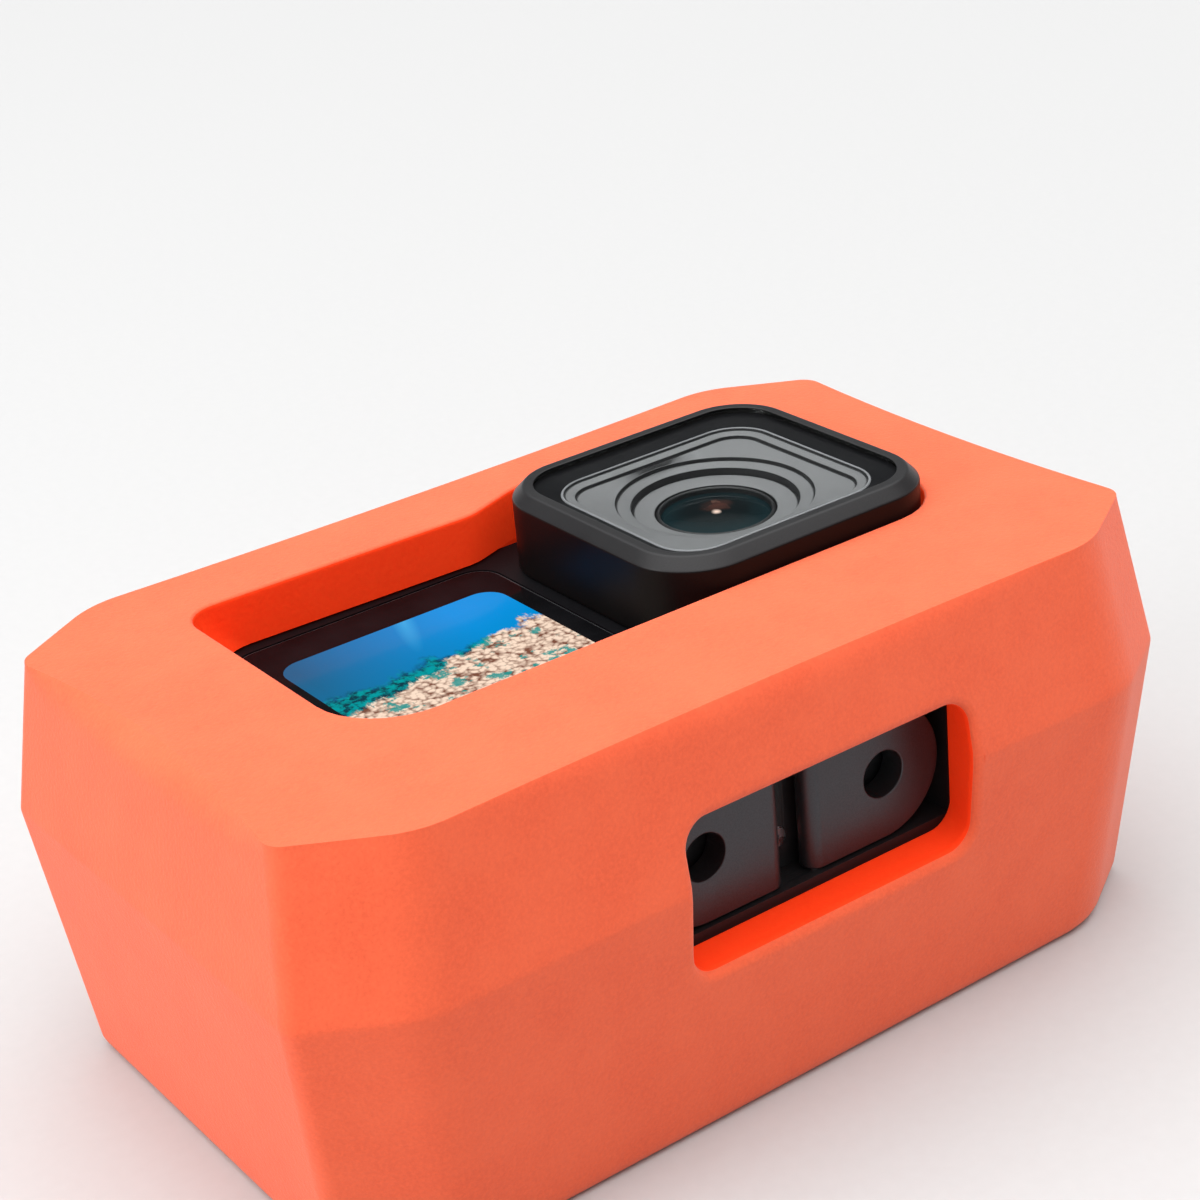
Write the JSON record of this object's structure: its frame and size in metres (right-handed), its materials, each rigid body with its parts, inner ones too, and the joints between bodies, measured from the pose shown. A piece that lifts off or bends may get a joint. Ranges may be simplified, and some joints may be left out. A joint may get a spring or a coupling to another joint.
{
  "type": "action camera in a floating case",
  "caption": "Square-lens action camera with front and rear displays and folding mount fingers, held in an eight-sided foam floating case with a large front window.",
  "frame": {"origin": "middle of the floating case's back face, which it rests on", "axes": "+Z is the way the lens looks, +X is towards the lens side of the front face, +Y is the camera's top"},
  "size_m": [0.1056, 0.0672, 0.0483],
  "materials": {
    "case_foam": "matte closed-cell foam with a fine speckle",
    "housing_plastic": "fine moulded texture",
    "fascia_plastic": "satin black",
    "cover_plastic": "satin dark grey",
    "baffle_plastic": "satin grey, stepped",
    "black_plastic": "matte",
    "button_plastic": "satin",
    "cover_glass": "gloss",
    "lens_glass": "coated",
    "display_glass": "gloss",
    "display_panel": "lit display",
    "rear_panel": "dark display",
    "rubber": "matte",
    "seal_rubber": "matte",
    "circuit_board": "solder mask",
    "chip_epoxy": "matte",
    "sensor_ceramic": "satin",
    "battery_wrap": "satin",
    "card_plastic": "matte",
    "steel": "satin",
    "aluminium": "satin",
    "gold_contact": "polished",
    "finger_metal": "dark anodised",
    "led_lens": "gloss"
  },
  "bodies": {
    "float_case": {"float_shell": "case_foam"},
    "camera": {"body_housing": "housing_plastic", "fascia_gasket": "rubber", "front_fascia": "fascia_plastic", "front_display_panel": "display_panel", "front_display_glass": "display_glass", "rear_display_panel": "rear_panel", "rear_display_glass": "display_glass", "status_light": "led_lens", "lens_barrel": "black_plastic", "lens_front_element": "lens_glass", "inner_lenses": "lens_glass", "image_sensor": "sensor_ceramic", "sensor_board": "circuit_board", "main_board": "circuit_board", "board_chips": "chip_epoxy", "heat_spreader": "aluminium", "board_screws": "steel", "battery": "battery_wrap", "battery_door": "housing_plastic", "door_seal": "seal_rubber", "door_latch": "button_plastic", "door_hinge_pin": "steel", "usb_port": "steel", "card_slot": "steel", "memory_card": "card_plastic", "switch_brackets": "steel", "shutter_switch": "gold_contact", "mode_switch": "gold_contact", "mount_cradle": "black_plastic", "cradle_screws": "steel", "finger_pins": "steel", "speaker": "black_plastic", "microphones": "gold_contact"},
    "lens_cover": {"lens_cover_frame": "cover_plastic", "lens_baffle": "baffle_plastic", "lens_cover_glass": "cover_glass", "lens_cover_seal": "rubber"},
    "shutter_button": {"shutter_button": "button_plastic"},
    "mode_button": {"mode_button": "button_plastic"},
    "left_finger": {"finger_left": "finger_metal"},
    "right_finger": {"finger_right": "finger_metal"}
  },
  "joints": [
    {"name": "camera_push_out", "type": "slide", "parent": "float_case", "child": "camera", "axis": [0, 0, 1], "range_m": [-0.05, 0]},
    {"name": "lens_cover_pull", "type": "slide", "parent": "camera", "child": "lens_cover", "axis": [0, 0, 1], "range_m": [0, 0.012]},
    {"name": "shutter_press", "type": "slide", "parent": "camera", "child": "shutter_button", "axis": [0, -1, 0], "range_m": [0, 0.0006], "stiffness_N_per_m": 3000, "springref_m": -0.0001},
    {"name": "mode_press", "type": "slide", "parent": "camera", "child": "mode_button", "axis": [-1, 0, 0], "range_m": [0, 0.0006], "stiffness_N_per_m": 3000, "springref_m": -0.0001},
    {"name": "left_finger_fold", "type": "hinge", "parent": "camera", "child": "left_finger", "pos_m": [0.0008, -0.0252, 0.0267], "axis": [0, 0, 1], "range_deg": [0, 90]},
    {"name": "right_finger_fold", "type": "hinge", "parent": "camera", "child": "right_finger", "pos_m": [0.007, -0.0252, 0.0267], "axis": [0, 0, -1], "range_deg": [0, 90]}
  ]
}
